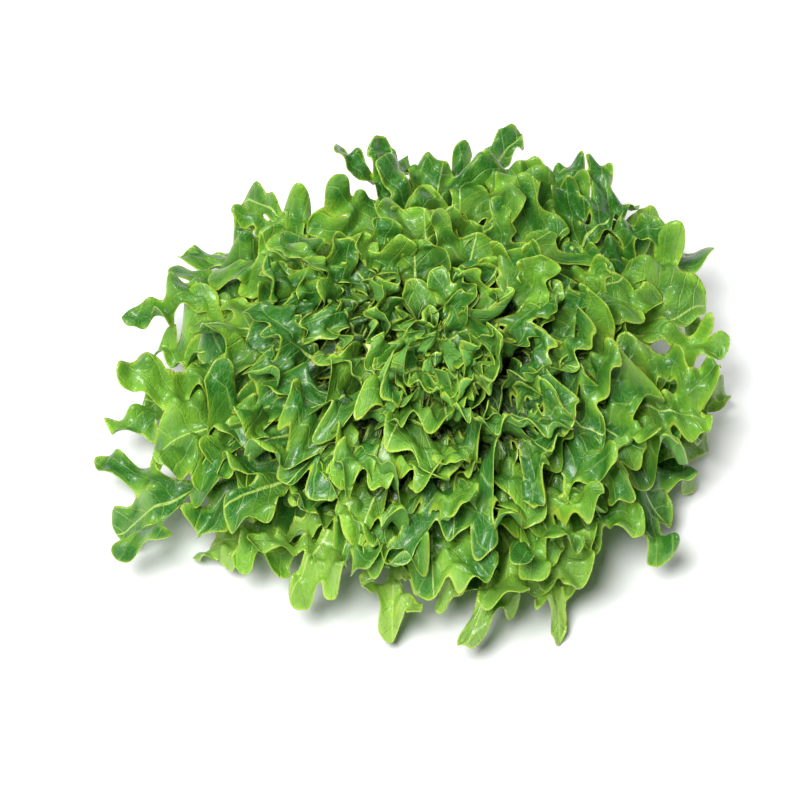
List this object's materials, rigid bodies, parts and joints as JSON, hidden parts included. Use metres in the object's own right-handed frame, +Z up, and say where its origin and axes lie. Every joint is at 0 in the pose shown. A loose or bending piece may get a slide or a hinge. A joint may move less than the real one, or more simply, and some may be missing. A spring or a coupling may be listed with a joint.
{
  "type": "head of lettuce",
  "caption": "Head of green oak-leaf lettuce standing on its cut stem, with ruffled, lobed leaves in a spiral round a dense heart.",
  "frame": {"origin": "centre of the stem's cut face, which the head stands on", "axes": "+Z up along the stem, -Y towards the front of the head, +X to its right as seen from the front"},
  "size_m": [0.3115, 0.2832, 0.115],
  "materials": {
    "stem": "moist, matt, cream to pale green",
    "heart": "waxy, thin young leaf, light yellow green",
    "inner_leaf": "waxy, bright mid green with a yellow-green margin",
    "outer_leaf": "waxy, deep green with a yellow-green margin and midrib"
  },
  "bodies": {
    "root": {"stem": "stem", "heart": "heart", "leaf_01": "inner_leaf", "leaf_02": "inner_leaf", "leaf_03": "inner_leaf", "leaf_04": "inner_leaf", "leaf_05": "inner_leaf", "leaf_06": "inner_leaf", "leaf_07": "inner_leaf", "leaf_08": "inner_leaf", "leaf_09": "inner_leaf", "leaf_10": "inner_leaf", "leaf_11": "inner_leaf", "leaf_12": "inner_leaf", "leaf_13": "inner_leaf", "leaf_14": "inner_leaf", "leaf_15": "inner_leaf", "leaf_16": "inner_leaf", "leaf_17": "inner_leaf", "leaf_18": "inner_leaf", "leaf_19": "inner_leaf", "leaf_20": "inner_leaf", "leaf_21": "inner_leaf", "leaf_22": "inner_leaf", "leaf_23": "inner_leaf", "leaf_24": "inner_leaf", "leaf_25": "inner_leaf", "leaf_26": "inner_leaf", "leaf_27": "inner_leaf", "leaf_28": "inner_leaf", "leaf_29": "outer_leaf", "leaf_30": "outer_leaf", "leaf_31": "outer_leaf", "leaf_32": "outer_leaf", "leaf_33": "outer_leaf", "leaf_34": "outer_leaf", "leaf_35": "outer_leaf", "leaf_36": "outer_leaf", "leaf_37": "outer_leaf", "leaf_38": "outer_leaf", "leaf_39": "outer_leaf", "leaf_40": "outer_leaf", "leaf_41": "outer_leaf", "leaf_42": "outer_leaf", "leaf_43": "outer_leaf", "leaf_44": "outer_leaf", "leaf_45": "outer_leaf", "leaf_46": "outer_leaf", "leaf_47": "outer_leaf", "leaf_48": "outer_leaf", "leaf_49": "outer_leaf", "leaf_50": "outer_leaf", "leaf_51": "outer_leaf", "leaf_52": "outer_leaf", "leaf_53": "outer_leaf", "leaf_54": "outer_leaf", "leaf_55": "outer_leaf", "leaf_56": "outer_leaf", "leaf_57": "outer_leaf"}
  },
  "joints": []
}
